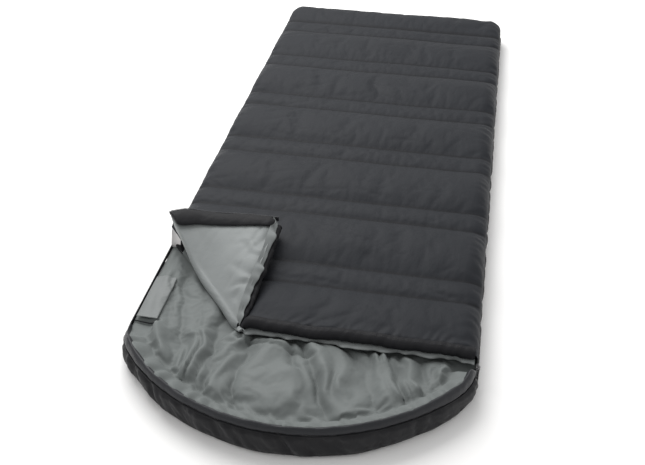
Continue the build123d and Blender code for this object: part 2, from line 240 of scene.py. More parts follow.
def toothMaterial():
    shade = Shade("toothNylon", 0.38)
    grain = shade.noise(shade.place(), 700.0, 2.0)
    tint = shade.blend(grain, colour(0.010, 0.010, 0.012), colour(0.026, 0.026, 0.03))
    return shade.finish(tint, grain * 0.2 + 0.3)


def tapeMaterial():
    shade = Shade("tapeCloth", 0.7, Specular_IOR_Level=0.2)
    place = shade.place()
    ribs = shade.rows(place, 200.0, "Z", 0.4) * 0.5 + shade.noise(place, 900.0, 2.0) * 0.5
    tint = shade.blend(ribs, colour(0.008, 0.008, 0.010), colour(0.020, 0.020, 0.024))
    return shade.finish(tint, None, shade.bump(ribs, 0.0002))


def metalMaterial():
    shade = Shade("sliderMetal", 0.32, Metallic=0.85, Coat_Roughness=0.2)
    wear = shade.noise(shade.place(), 420.0, 4.0, 0.6)
    patches = wear ** 3.0
    tint = shade.blend(patches, colour(0.16, 0.16, 0.165), colour(0.70, 0.68, 0.67))
    return shade.finish(tint, 0.45 - patches * 0.3, shade.bump(wear, 0.00008))


def threadMaterial():
    shade = Shade("darkThread", 0.6, Sheen_Weight=0.2)
    twist = shade.noise(shade.place(), 1600.0, 2.0)
    tint = shade.blend(twist, colour(0.008, 0.008, 0.01), colour(0.02, 0.02, 0.024))
    return shade.finish(tint, None, shade.bump(twist, 0.0001))


toothNylon = toothMaterial()
tapeCloth = tapeMaterial()
sliderMetal = metalMaterial()
darkThread = threadMaterial()


def floorMaterial():
    shade = Shade("paleFloor", 0.75)
    patches = shade.noise(shade.place(), 0.8, 2.0)
    tint = shade.blend(patches, colour(0.93, 0.925, 0.915), colour(0.95, 0.945, 0.94))
    return shade.finish(tint)


def clamp(value, low=0.0, high=1.0):
    return max(low, min(high, value))


def ease(value):
    value = clamp(value)
    return value * value * (3 - 2 * value)


def mix(low, high, amount):
    return low + (high - low) * amount


def bell(distance, width):
    return exp(-(distance / width) ** 2)


def wave(x, y, z, size, seed=0.0):
    return noise.noise(Vector((x / size + seed, y / size - seed * 0.7, z / size + seed * 1.3)))


def folds(x, y, size, stretch, turn, seed):
    # long soft folds: noise drawn out along one direction
    c, s = cos(turn), sin(turn)
    along, across = x * c + y * s, y * c - x * s
    return wave(along / stretch, across, 0.0, size, seed)


def ridge(phase, power=0.75):
    # rounded folds with a narrow valley at every whole number
    return (0.5 - 0.5 * cos(2 * pi * phase)) ** power


def creased(value, sharp=0.7):
    # turns smooth noise into rounded puffs between narrow creases
    return min(1.0, abs(value) * 2.2) ** sharp


def gridSheet(name, columns, rows, place, material):
    # a grid whose vertices are placed by their fractions across and along
    bm = bmesh.new()
    bmesh.ops.create_grid(bm, x_segments=columns, y_segments=rows, size=0.5)
    uvLayer = bm.loops.layers.uv.new("cloth")
    flat = {}
    for vertex in bm.verts:
        u, v = vertex.co.x + 0.5, vertex.co.y + 0.5
        point, cloth = place(round(u * columns), round(v * rows))
        flat[vertex] = cloth
        vertex.co = point
    for face in bm.faces:
        face.smooth = True
        for loop in face.loops:
            loop[uvLayer].uv = flat[loop.vert]
    return makePiece(name, bm, material)


def makePiece(name, bm, material):
    mesh = bpy.data.meshes.new(name)
    bm.to_mesh(mesh)
    bm.free()
    mesh.materials.append(material)
    piece = bpy.data.objects.new(name, mesh)
    bpy.context.collection.objects.link(piece)
    return piece


def openMesh(piece):
    bm = bmesh.new()
    bm.from_mesh(piece.data)
    return bm


def closeMesh(bm, piece):
    bm.to_mesh(piece.data)
    bm.free()


def cutAt(bm, point, normal, **clear):
    everything = bm.verts[:] + bm.edges[:] + bm.faces[:]
    bmesh.ops.bisect_plane(bm, geom=everything, dist=1e-6, plane_co=point, plane_no=normal, **clear)


def repeatShape(name, shape, places, material):
    # copies of one small shape, moved by the matrices in places
    small = bpy.data.meshes.new("small")
    shape.to_mesh(small)
    shape.free()
    bm = bmesh.new()
    for place in places:
        start = len(bm.verts)
        bm.from_mesh(small)
        bm.verts.ensure_lookup_table()
        bmesh.ops.transform(bm, matrix=place, verts=bm.verts[start:])
    return makePiece(name, bm, material)


def thicken(piece, thickness):
    piece.modifiers.new("thick", "SOLIDIFY").thickness = thickness
    return piece


def settleCloth(piece, pins, style):
    # cloth simulation from frame 1, with the result kept in the mesh
    start = [vertex.co.copy() for vertex in piece.data.vertices]
    group = piece.vertex_groups.new(name="pins")
    for index, weight in enumerate(pins):
        if weight > 0:
            group.add([index], weight, "REPLACE")
    cloth = piece.modifiers.new("settle", "CLOTH")
    settings = cloth.settings
    settings.quality = style["quality"]
    settings.mass = 0.15
    settings.tension_stiffness = settings.compression_stiffness = style["stiff"]
    settings.shear_stiffness = style["shear"]
    settings.bending_stiffness = style["bend"]
    settings.vertex_group_mass = "pins"
    settings.pin_stiffness = 5.0
    settings.shrink_min = -style["excess"]
    settings.use_pressure = True
    settings.uniform_pressure_force = style["pressure"]
    settings.effector_weights.gravity = style["gravity"]
    settings.air_damping = 2.0
    cloth.collision_settings.use_collision = cloth.collision_settings.use_self_collision = False
    cloth.point_cache.frame_start = 1
    cloth.point_cache.frame_end = style["frames"]
    scene = bpy.context.scene
    for number in range(1, style["frames"] + 1):
        scene.frame_set(number)
    settled = piece.evaluated_get(bpy.context.evaluated_depsgraph_get())
    moved = [vertex.co.copy() for vertex in settled.data.vertices]
    piece.modifiers.remove(cloth)
    piece.vertex_groups.clear()
    cap = style["cap"]
    for vertex, before, after in zip(piece.data.vertices, start, moved):
        step = after - before
        if step.length > cap:
            step *= cap / step.length
        vertex.co = before + step * style.get("kept", 1.0)
    scene.frame_set(1)
    print("  settled", piece.name)


def finishPiece(piece, body, slot, *nodes, levels=0):
    if levels:
        smooth = piece.modifiers.new("smooth", "SUBSURF")
        smooth.levels = levels
        smooth.render_levels = levels
    if body:
        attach(piece, body)
    if nodes:
        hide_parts(*nodes)
    return piece


print("camera and light")
viewStyle = {"place": (0.337, -2.289, 1.525), "tilt": 36.97, "turn": 10.70, "lens": 49.6}
camera = bpy.data.objects.new("camera", bpy.data.cameras.new("camera"))
camera.location = viewStyle["place"]
camera.rotation_euler = (radians(90 - viewStyle["tilt"]), 0, radians(viewStyle["turn"]))
camera.data.lens = viewStyle["lens"]
camera.data.sensor_width = 36
bpy.context.collection.objects.link(camera)
bpy.context.scene.camera = camera

lightStyle = {
    "overhead": {"place": (-1.3, 1.5, 2.9), "aim": (0, -0.1, 0), "size": 3.0, "power": 150},
    "front": {"place": (-2.6, -2.2, 2.2), "aim": (0, -0.3, 0), "size": 2.2, "power": 14},
    "side": {"place": (2.8, -0.8, 1.8), "aim": (0, -0.2, 0), "size": 2.0, "power": 10},
}
for lightName, style in lightStyle.items():
    lamp = bpy.data.lights.new(lightName, "AREA")
    lamp.size = style["size"]
    lamp.energy = style["power"]
    light = bpy.data.objects.new(lightName, lamp)
    light.location = style["place"]
    aim = Vector(style["aim"]) - Vector(style["place"])
    light.rotation_euler = aim.to_track_quat("-Z", "Y").to_euler()
    bpy.context.collection.objects.link(light)
world = bpy.data.worlds.new("studio")
world.use_nodes = True
world.node_tree.nodes["Background"].inputs["Color"].default_value = (1.0, 1.0, 1.0, 1)
world.node_tree.nodes["Background"].inputs["Strength"].default_value = 0.62
bpy.context.scene.world = world
bpy.context.scene.view_settings.view_transform = "Standard"

bm = bmesh.new()
bmesh.ops.create_grid(bm, x_segments=2, y_segments=2, size=14.0)
floor = makePiece("floor", bm, floorMaterial())

outlineStyle = {"sideRadius": 0.165, "footRadius": 0.07}
sideRadius = outlineStyle["sideRadius"]
footRadius = outlineStyle["footRadius"]
headDepth = rimStartY - headY
sideCentreX = wallX - sideRadius
wideCentre = (sideCentreX ** 2 - (headDepth - sideRadius) ** 2) / (2 * (headDepth - sideRadius))
wideY = rimStartY + wideCentre
wideRadius = wideCentre + headDepth
turnAngle = atan2(wideCentre, sideCentreX)
sideRun = sideRadius * turnAngle
wideRun = wideRadius * (pi - 2 * turnAngle)
headRun = 2 * sideRun + wideRun


def headPath(s):
    # a point on the rounded head end, and the direction outwards, at run s from the left
    if s < sideRun:
        angle, centre, reach = s / sideRadius, Vector((-sideCentreX, rimStartY)), sideRadius
    elif s < sideRun + wideRun:
        angle, centre, reach = turnAngle + (s - sideRun) / wideRadius, Vector((0, wideY)), wideRadius
    else:
        angle, centre, reach = pi - (headRun - s) / sideRadius, Vector((sideCentreX, rimStartY)), sideRadius
    out = Vector((-cos(angle), -sin(angle)))
    return centre + out * reach, out


def headPlace(x, y):
    # run along the head end, and distance inwards from it, of a point of the tray
    if y >= rimStartY:
        return (0.0 if x < 0 else headRun), wallX - abs(x)
    across, down = abs(x) - sideCentreX, rimStartY - y
    if across * wideCentre > down * sideCentreX:
        s, gap = sideRadius * atan2(down, across), sideRadius - hypot(across, down)
    else:
        down = wideY - y
        s = sideRun + wideRadius * (atan2(down, abs(x)) - turnAngle)
        gap = wideRadius - hypot(x, down)
    return (s if x < 0 else headRun - s), gap


def headDepthAt(x):
    x = min(abs(x), wallX)
    if x > sideCentreX + sideRadius * cos(turnAngle):
        return sqrt(max(0.0, sideRadius ** 2 - (x - sideCentreX) ** 2))
    return sqrt(wideRadius ** 2 - x * x) - wideCentre


def bagPoint(across, y, inset=0.0):
    # plan of the whole bag: across runs -1 to 1, y past the rim's start curves round the head
    if y >= rimStartY:
        return across * footHalfWidth(y, inset), y
    v = clamp((rimStartY - y) / headDepth)
    ex, ey = across * sqrt(1 - v * v / 2), v * sqrt(1 - across * across / 2)
    reach, angle = hypot(ex, ey), atan2(ey, ex)
    reach *= 1 - inset / wallX
    return wallX * reach * cos(angle), rimStartY - reach * headDepthAt(wallX * cos(angle))


def footHalfWidth(y, inset=0.0):
    radius = footRadius - inset
    over = y - (footY - inset - radius)
    if over <= 0:
        return wallX - inset
    return wallX - inset - radius + sqrt(max(0.0, radius ** 2 - min(over, radius) ** 2))


coverStyle = {
    "headChannel": 0.175, "narrow": 0.082, "wide": 0.213, "footLeast": 0.150,
    "cell": 0.0068, "seamZ": 0.0815, "hemZ": 0.094, "roll": 0.046, "crown": 0.085,
    "sim": {"quality": 5, "stiff": 12.0, "shear": 4.0, "bend": 0.35, "excess": 0.030,
            "pressure": 2.0, "gravity": 0.0, "frames": 15, "cap": 0.014, "kept": 0.38},
}


def seamRows():
    rows = [hemY + coverStyle["headChannel"]]
    while True:
        step = (coverStyle["narrow"], coverStyle["wide"])[(len(rows) - 1) % 2]
        if rows[-1] + step > footY - coverStyle["footLeast"]:
            return rows
        rows.append(rows[-1] + step)


seams = seamRows()
quiltStart = hemY + 0.013


def gridRows():
    # row places in Y with a row on every seam, and each row's channel and share of it
    rows = []
    ends = [quiltStart] + seams + [footY]
    for number, (low, high) in enumerate(zip(ends, ends[1:])):
        count = round((high - low) / coverStyle["cell"])
        last = number == len(ends) - 2
        for step in range(count + (1 if last else 0)):
            share = step / count
            if last:
                share = sin(share * pi / 2) ** 0.8
            rows.append((mix(low, high, share), number, share, high - low))
    return rows


def sideColumns(width):
    # distances from the left edge, close together where the cloth rolls over the sides
    roll = coverStyle["roll"]
    edge = [roll * (1 - cos(k / 8 * pi / 2)) for k in range(8)]
    count = round((width - 2 * roll) / coverStyle["cell"])
    middle = [roll + (width - 2 * roll) * k / count for k in range(count + 1)]
    return edge + middle + [width - d for d in reversed(edge)]


def edgeRise(distance):
    # rounded shoulder: 0 at the edge, 1 once the cloth lies flat on the filling
    t = clamp(distance / coverStyle["roll"])
    return sqrt(1 - (1 - t) ** 2)


def quiltHeight(x, y, share, length):
    crown = coverStyle["crown"] * length * (1 - abs(2 * share - 1) ** 2.3)
    crown *= 1 + 0.25 * wave(x, y, 0, 0.22, 3.1)
    level = coverStyle["seamZ"] + 0.004 * wave(x, y, 0, 0.35, 7.7)
    leftward, rightward = (creased(folds(x, y, 0.040, 5.0, turn, 41.0), 0.6) for turn in (0.32, -0.22))
    crease = mix(leftward, rightward, ease(0.5 + 2.5 * wave(x, y, 0, 0.30, 33.0))) - 0.7
    crease *= 0.0050 * clamp(0.25 + 1.6 * wave(x, y, 0, 0.16, 27.0)) * ease(min(share, 1 - share) * 6)
    return level + crown + crease


def hemGather(x, y):
    # slanting gathers just above the hem: 0 in a pinch, 1 on a puff
    lean = x - 0.6 * (y - quiltStart)
    return ridge(lean / 0.027 + 1.6 * wave(x, 0, 0, 0.05, 4.4), 0.6)


def buildCover():
    rows = gridRows()
    columns = sideColumns(2 * wallX)

    def place(i, j):
        y, number, share, length = rows[j]
        half = footHalfWidth(y)
        distance = columns[i] - wallX
        x = distance * half / wallX
        atSeam = min(share, 1 - share) * length
        wander = 0.0035 * wave(x, number * 3.0, 0, 0.11, 1.7) * ease(1 - atSeam / 0.05)
        side = half - abs(x)
        near = min(side, footY - y)
        top = quiltHeight(x, y, share, length)
        if number == 0:
            top = mix(coverStyle["hemZ"], top, ease((y - quiltStart) / 0.05 + 0.12))
        gather = 0.0070 * (hemGather(x, y) - 0.5) * ease(1 - (y - quiltStart) / 0.050)
        gather *= clamp(0.6 + 1.6 * wave(x, 0, 0, 0.07, 2.4))
        pull = 0.0028 * wave(y, x * 0.3, 0, 0.017, 9.2) * ease(1 - side / 0.09)
        rise = edgeRise(near)
        z = mix(coverLow.z, top, rise) + (gather + pull) * rise
        if j == 0:
            return (x, y - 0.004, z - 0.009 * rise), (x, y)  # its edge is tucked in under the hem band
        return (x, y + wander, z), (x, y)

    piece = gridSheet("coverQuilt", len(columns) - 1, len(rows) - 1, place, coverCloth)
    seamSet = {round(s, 4) for s in seams}
    pins = []
    across = len(columns)
    for index in range(len(piece.data.vertices)):
        i, j = index % across, index // across
        edge = i in (0, across - 1) or j in (0, len(rows) - 1)
        pins.append(1.0 if edge or round(rows[j][0], 4) in seamSet else 0.0)
    settleCloth(piece, pins, coverStyle["sim"])
    # painted shade: the "seam" attribute sets how dark the cover's colour is painted, strongest in the valleys
    # along the seams and in the pinches between the hem gathers
    seamShadeAttribute = piece.data.attributes.new("seam", "FLOAT", "POINT")
    for index, vertex in enumerate(piece.data.vertices):
        x, y = vertex.co.x, rows[index // across][0]
        fade = 0.03 + 0.03 * wave(x, 0, 0, 0.02, 8.4)
        pinch = (1 - hemGather(x, y)) ** 2 * ease(1 - (y - quiltStart) / fade)
        seamShadeAttribute.data[index].value = max([0.75 * pinch] + [bell(y - seam, 0.0052) for seam in seams])
    return piece


turnOver = Matrix.Translation(foldPoint) @ Matrix.Rotation(pi, 4, foldLine) @ Matrix.Translation(-foldPoint)

foldStyle = {
    "top": 0.1475, "low": 0.050, "deep": 0.0445, "drop": 0.065, "squeeze": 0.55, "fade": 0.17, "gap": 0.004,
    "lift": 0.006, "shift": 0.024, "tipShift": 0.021, "hinge": 0.03, "back": 0.018, "lean": 0.034,
}


def foldPlace(x, y):
    # distance from the fold line towards the cover, and share of the way along it
    dx, dy = x - foldPoint.x, y - foldPoint.y
    return (dx + dy) / root2, (dx - dy) / (2 * foldLeg)


def foldLevels(d, t):
    # top of the turned corner, how much of its thickness is left, and the cover's top below it
    rise = 1 - (1 - clamp(d / foldStyle["fade"])) ** 1.7
    low = ease(t / 0.5) * (1 - rise)
    top = foldStyle["top"] - foldStyle["drop"] * low
    kept = 1 - foldStyle["squeeze"] * low
    return top, kept, top - foldStyle["deep"] * kept - foldStyle["gap"]


def foldWarp(x, y, z, turned, tucked=False):
    # the soft fold: thin along its edge, leaning to the left at the hem
    style = foldStyle
    d, t = foldPlace(x, y)
    top, kept, under = foldLevels(max(d, 0.0), t)
    share = clamp(t)
    if turned:
        share = clamp((x + wallX) / foldLeg)
        moved = style["shift"] * share + style["tipShift"] * share ** 2 * ease(1 - d / 0.15)
        raised = style["lift"] * ease((y - hemY - 0.20) / 0.10) * clamp(d / 0.05)
        z = top - (style["top"] - z) * (kept if z < style["top"] else 1.0) + raised
    else:
        moved = (style["shift"] * share + style["tipShift"] * share ** 2) * ease(1 - max(d, 0.0) / 0.22)
        covered = ease((foldPoint.x + foldLeg + 0.02 - x) / 0.04)
        squeezed = (under - style["low"]) / (style["top"] - style["deep"] - style["gap"] - style["low"])
        z = style["low"] + (z - style["low"]) * mix(1.0, squeezed, covered)
    if tucked:
        z = mix(foldLevels(0.0, t)[2] + 0.002, z, ease(d / 0.012))
    back = style["back"] * ease((y - hemY - 0.18) / 0.14) * clamp(d / 0.03) if turned else 0.0
    return x - moved, y + back, z


def warpPiece(piece, turned, tucked=False):
    for vertex in piece.data.vertices:
        vertex.co = foldWarp(*vertex.co, turned, tucked)


def hingePiece(piece, slot, *nodes, levels=0):
    # a piece of the turned corner, baked in place and attached to no body
    finishPiece(piece, None, slot, *nodes, levels=levels)
    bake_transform(piece)
    return piece


def splitAtFold(piece, cornerName, closed=False):
    # the cover keeps one side of the fold line; the corner is turned over on it
    corner = piece.copy()
    corner.data = piece.data.copy()
    bpy.context.collection.objects.link(corner)
    for part, keepOuter in ((piece, True), (corner, False)):
        bm = openMesh(part)
        cutAt(bm, foldPoint, foldOut, clear_inner=keepOuter, clear_outer=not keepOuter)
        if closed:
            bmesh.ops.holes_fill(bm, edges=bm.edges, sides=0)
        closeMesh(bm, part)
    corner.name = cornerName
    corner.data.transform(turnOver)
    return corner


print("cover")
coverQuilt = buildCover()
cornerShell = splitAtFold(coverQuilt, "cornerShell")
warpPiece(coverQuilt, False, True)
warpPiece(cornerShell, True, True)
coverNodes = ("cover_shell", "cover_filling_outer", "cover_filling_inner")
cornerNodes = ("corner_shell", "corner_filling_outer", "corner_filling_inner")
finishPiece(coverQuilt, "cover", "shell_fabric", *coverNodes, levels=1)
hingePiece(cornerShell, "shell_fabric", *cornerNodes, levels=1)

print("head rim")
rimStyle = {
    "width": 0.021, "topZ": corners("rim_shell")[1].z, "middleZ": 0.062, "lowZ": 0.0415, "grooveZ": 0.062,
    "grooveFront": 0.071, "leftRamp": 0.10, "rightRamp": 0.04, "least": 0.35,
    "bulge": 0.006, "cell": 0.0048, "wrinkle": 0.0120, "piping": 0.0018,
}


def rimLift(s):
    # 0 where the rim starts at the zip, 1 where it has its full height
    return min(ease(s / rimStyle["leftRamp"]), ease((headRun - s) / rimStyle["rightRamp"]))


def grooveHeight(s):
    # the piped seam under the rim, higher across the front
    front = ease((-headPath(s)[1].y - 0.45) / 0.5)
    return mix(rimStyle["grooveZ"], rimStyle["grooveFront"], front)


def along(keys, t):
    # a point on a line through keys, at fraction t
    span = t * (len(keys) - 1)
    k = min(int(span), len(keys) - 2)
    return Vector(keys[k]).lerp(Vector(keys[k + 1]), span - k)


def buildRim():
    count = round(headRun / rimStyle["cell"])
    rounds = 22

    def place(i, j):
        s = headRun * i / count
        point, out = headPath(s)
        lift = rimLift(s)
        angle = mix(-0.45, pi + 0.30, j / rounds)
        half = rimStyle["width"] / 2 * mix(rimStyle["least"], 1.0, lift)
        tall = (rimStyle["topZ"] - rimStyle["middleZ"]) * mix(rimStyle["least"], 1.0, lift)
        middle = mix(0.046, rimStyle["middleZ"], lift)
        puff = 1 + 0.10 * wave(s, 0, 0, 0.09, 2.2) + 0.05 * wave(s, j * 0.01, 0, 0.03, 5.1)
        outside = clamp((j / rounds - 0.55) / 0.45)
        pucker = 0.0022 * (creased(wave(s + 0.01 * j / rounds, 0, 0, 0.022, 8.8)) - 0.5) * outside
        d = -half + half * cos(pi - angle) * puff + pucker
        z = middle + tall * sin(angle) * puff
        if outside > 0:
            d -= clamp(1.6 * (grooveHeight(s) + 0.002 - z), 0.0, 0.014) * lift  # tucked in behind the wall
        return (point.x + out.x * d, point.y + out.y * d, z), (s, j * 0.004)

    return gridSheet("rimRoll", count, rounds, place, rimCloth)


wallFoot = [(-0.008, 0.002), (-0.022, 0.0008), (-0.045, 0.0005)]  # the walls' lower edge turns in below the bag


def wallPoint(point, out, d, z):
    return point.x + out.x * d, point.y + out.y * d, max(z, 0.0004)


def buildHeadWall():
    count = round(headRun / rimStyle["cell"])
    rounds = 24
    bulge = rimStyle["bulge"]

    def place(i, j):
        s = headRun * i / count
        point, out = headPath(s)
        lift = rimLift(s)
        top = mix(0.042, grooveHeight(s), lift)
        keys = [(-0.004, top + 0.001), (-0.0005, top - 0.002), (bulge * 0.8, top - 0.010),
                (bulge, top * 0.5 + 0.004), (bulge * 0.7, top * 0.3), (0.0, 0.008)] + wallFoot
        share = j / rounds
        d, z = along(keys, share)
        amount = sin(min(1.0, share * 1.55) * pi) if share < 0.645 else 0.0
        lean = s + 0.5 * z + 0.02 * wave(s, z, 0, 0.10, 6.6)
        d += 0.004 * wave(s, 0, 0, 0.07, 31.0) * clamp(share * 3)
        fold = ridge(lean / 0.068 + 1.1 * wave(lean, z * 0.5, 0, 0.09, 3.7), 0.6) - 0.75
        strong = clamp(0.5 + 1.4 * wave(s, 0, 0, 0.08, 12.1))
        fine = creased(wave(lean * 1.1, z * 0.4, 0, 0.020, 22.1), 0.7) - 0.5
        d += rimStyle["wrinkle"] * amount * (fold * mix(0.3, 1.0, strong) + 0.36 * fine)
        z += 0.0015 * amount * wave(s, z, 0, 0.03, 9.4)
        return wallPoint(point, out, d, z), (s, j * 0.0045)

    return gridSheet("headWall", count, rounds, place, shellCloth)


def runCord(name, points, radius):
    # a thin round cord through points, with closed ends
    bm = bmesh.new()
    ring = bmesh.ops.create_circle(bm, cap_ends=True, segments=8, radius=radius)["verts"]
    uvLayer = bm.loops.layers.uv.new("cloth")
    first = (Vector(points[1]) - Vector(points[0])).normalized()
    turn = first.to_track_quat("Z", "Y").to_matrix().to_4x4()
    bmesh.ops.transform(bm, matrix=Matrix.Translation(points[0]) @ turn, verts=ring)
    face = bm.faces[:][0]
    for k in range(1, len(points)):
        grown = bmesh.ops.extrude_discrete_faces(bm, faces=[face])
        face = grown["faces"][0]
        low, high = Vector(points[k - 1]), Vector(points[k])
        after = Vector(points[min(k + 1, len(points) - 1)])
        before = (high - low).normalized()
        ahead = (after - high).normalized() if (after - high).length > 1e-7 else before
        heading = (before + ahead).normalized()
        swing = Matrix.Translation(high) @ first.rotation_difference(heading).to_matrix().to_4x4()
        bmesh.ops.transform(bm, matrix=swing @ Matrix.Translation(-low), verts=list(face.verts))
        first = heading
    for f in bm.faces:
        f.smooth = True
        for loop in f.loops:
            loop[uvLayer].uv = (loop.vert.co.x + loop.vert.co.y, loop.vert.co.z)
    bmesh.ops.recalc_face_normals(bm, faces=bm.faces)
    return makePiece(name, bm, trimCloth)


rimRoll = finishPiece(buildRim(), "base", "shell_fabric", "rim_shell", "rim_filling", levels=1)
headWall = finishPiece(buildHeadWall(), "base", "shell_fabric", "head_wall_shell", levels=1)
pipingPoints = []
for k in range(241):
    s = headRun * (0.012 + 0.976 * k / 240)
    point, out = headPath(s)
    z = mix(0.043, grooveHeight(s), rimLift(s))
    pipingPoints.append((point.x + out.x * 0.0002, point.y + out.y * 0.0002, z))
finishPiece(runCord("rimPiping", pipingPoints, rimStyle["piping"]), "base", "trim_fabric", "rim_piping")

print("base")
baseStyle = {"bulge": 0.0055, "wallZ": 0.0385, "cell": 0.0068, "bottomCell": 0.013, "seamLift": 0.005}


def sidePath(s):
    # the base's outline from the left start of the rim, round the foot, to the right start
    straight = footY - footRadius - rimStartY
    bend = footRadius * pi / 2
    middle = 2 * (wallX - footRadius)
    total = 2 * straight + 2 * bend + middle
    flip = s > total / 2
    if flip:
        s = total - s
    if s < straight:
        point, out = Vector((-wallX, rimStartY + s)), Vector((-1, 0))
    elif s < straight + bend:
        angle = (s - straight) / footRadius
        out = Vector((-cos(angle), sin(angle)))
        point = Vector((-wallX + footRadius, footY - footRadius)) + out * footRadius
    else:
        point, out = Vector((-wallX + footRadius + s - straight - bend, footY)), Vector((0, 1))
    if flip:
        point.x, out.x = -point.x, -out.x
    return point, out


leftRun = footY - footRadius - rimStartY
sideRunLength = 2 * leftRun + pi * footRadius + 2 * (wallX - footRadius)


def seamPinch(y):
    # 1 on a quilting seam, 0 between seams
    return max(bell(y - seam, 0.012) for seam in seams)


def buildBaseWall():
    count = round(sideRunLength / baseStyle["cell"])
    rounds = 20
    bulge = baseStyle["bulge"]

    def place(i, j):
        s = sideRunLength * i / count
        point, out = sidePath(s)
        top = baseStyle["wallZ"]
        keys = [(-0.006, top + 0.0005), (-0.0005, top), (bulge * 0.8, top - 0.006),
                (bulge, top * 0.55), (bulge * 0.7, top * 0.32), (0.0, 0.007)] + wallFoot
        share = j / rounds
        d, z = along(keys, share)
        amount = sin(min(1.0, share * 1.5) * pi) if share < 0.667 else 0.0
        pinch = seamPinch(point.y) if abs(out.x) > 0.5 else 0.0
        lean = s + 0.5 * z + 0.02 * wave(s, z, 1, 0.10, 6.6)
        fold = creased(wave(lean, z * 0.35, 1, 0.034, 3.7)) - 0.55
        d += amount * (0.0032 * fold - 0.006 * pinch)
        z += 0.0012 * amount * wave(s, z, 1, 0.03, 9.4)
        return wallPoint(point, out, d, z), (s, j * 0.0045)

    return gridSheet("baseWall", count, rounds, place, shellCloth)


def tRows(cell, low, high):
    count = round((high - low) / cell)
    return [low + (high - low) * k / count for k in range(count + 1)]


def buildBaseBottom():
    rows = tRows(baseStyle["bottomCell"], headY + 0.002, footY)
    count = round(2 * wallX / baseStyle["bottomCell"])

    def place(i, j):
        x, y = bagPoint(2 * i / count - 1, rows[j], 0.022)
        if y > 0:
            y = min(y, footY - 0.022)
        z = 0.0006 + baseStyle["seamLift"] * seamPinch(y) + 0.001 * abs(wave(x, y, 0, 0.08, 14.0))
        return (x, y, z), (x, rows[j])

    return gridSheet("baseBottom", count, len(rows) - 1, place, shellCloth)


baseNodes = ("base_shell", "base_filling_lower", "base_filling_upper")
baseWall = finishPiece(buildBaseWall(), "base", "shell_fabric", *baseNodes, levels=1)
baseBottom = finishPiece(buildBaseBottom(), "base", "shell_fabric", levels=1)

print("linings")
trayStyle = {
    "cell": 0.0048, "fineTo": -0.36, "coarse": 0.012, "inset": 0.0035, "under": 0.0412, "cornerPuff": 0.019,
    "trayPuff": 0.038,
    "rimTop": 0.0845, "stripWidth": 0.044, "stripFall": 0.026, "ruffle": 0.0165,
    "seamStart": (-0.150, -0.815), "seamEnd": (0.040, -0.852),
    "sim": {"quality": 5, "stiff": 10.0, "shear": 3.0, "bend": 0.15, "excess": 0.04,
            "pressure": 0.35, "gravity": 0.0, "frames": 12, "cap": 0.009},
}


def segmentPlace(x, y, a, b):
    # distance from a segment, and the run along it
    ax, ay, bx, by = *a, *b
    length = hypot(bx - ax, by - ay)
    ux, uy = (bx - ax) / length, (by - ay) / length
    run = (x - ax) * ux + (y - ay) * uy
    off = (y - ay) * ux - (x - ax) * uy
    return hypot(off, max(0.0, -run, run - length)), run


def openCorner(x, y):
    # 1 where the turned corner lays the lining bare, 0 under the cover
    return ease(-((x + wallX) + (y - hemY) - foldLeg) / 0.05)


def trayHeight(x, y):
    style = trayStyle
    s, gap = headPlace(x, y)
    gap -= rimStyle["width"] * 0.45
    tray = ease((hemY + 0.012 - y) / 0.040)
    corner = openCorner(x, y) * ease((wallX - abs(x) + 0.004) / 0.03)
    puffs = trayPuffs(x, y)
    under = style["under"] + 0.0015 * puffs
    z = mix(under, style["under"] - 0.002 + style["cornerPuff"] * puffs, corner)
    if tray > 0:
        lift = rimLift(s)
        field = 0.040 + style["trayPuff"] * puffs
        off, run = segmentPlace(x, y, style["seamStart"], style["seamEnd"])
        field -= 0.008 * bell(off, 0.006)
        field += 0.003 * wave(run, off * 0.4, 0, 0.009, 3.3) * bell(off, 0.02)
        z = mix(z, field, tray)
        rimEdge = mix(rimStyle["lowZ"], style["rimTop"], lift)
        fall = style["stripFall"] * lift
        inner = clamp(gap / style["stripWidth"])
        strip = rimEdge - fall * inner ** 1.3
        lean = s + 0.35 * gap + 0.02 * wave(s, gap, 2, 0.09, 1.1)
        ruffle = ridge(lean / 0.050 + 1.2 * wave(s, gap, 2, 0.15, 4.9), 0.7) - 0.5
        fine = wave(lean * 1.1, 0, 3, 0.016, 7.9)
        strip += lift * (style["ruffle"] * ruffle + 0.002 * fine) * ease(0.38 + inner * 4) * (1 - inner) ** 0.6
        creaseGap = style["stripWidth"] * (1.1 + 0.25 * wave(s, 0, 0, 0.08, 5.5))
        crease = 0.0055 * bell(gap - creaseGap, 0.009)
        joined = ease((gap - style["stripWidth"] * 0.75) / 0.035)
        z = mix(strip, z, joined) - crease * lift * (0.5 + ruffle)
        if gap < 0:
            z = rimEdge + gap * 0.15
    return z


def trayPuffs(x, y):
    # long soft folds from the hem to the rim, leaning to the right across the middle
    down = hemY - y
    slope = 0.12 + 0.42 * ease((x + 0.10) / 0.22) - 0.55 * ease((x - 0.24) / 0.15)
    bend = x - slope * down + 0.050 * wave(x, y * 0.7, 0, 0.14, 1.9) + 0.010 * wave(x, y, 0, 0.045, 8.1)
    wide = ridge(bend / 0.098 + 0.7 * wave(x, y * 0.4, 4, 0.20, 2.2), 0.62)
    small = ridge(bend / 0.041 + 0.9 * wave(x, y * 0.5, 7, 0.09, 12.2), 0.7)
    strong = clamp(0.55 + 1.1 * wave(x, y, 0, 0.11, 15.2))
    fine = clamp(0.60 + 1.3 * wave(x, y, 3, 0.07, 25.2))
    puffs = 0.06 + 0.68 * wide * mix(0.62, 1.0, strong) + 0.42 * small * fine + 0.10 * wave(x, y, 5, 0.05, 3.2)
    return clamp(puffs, 0, 1.15)


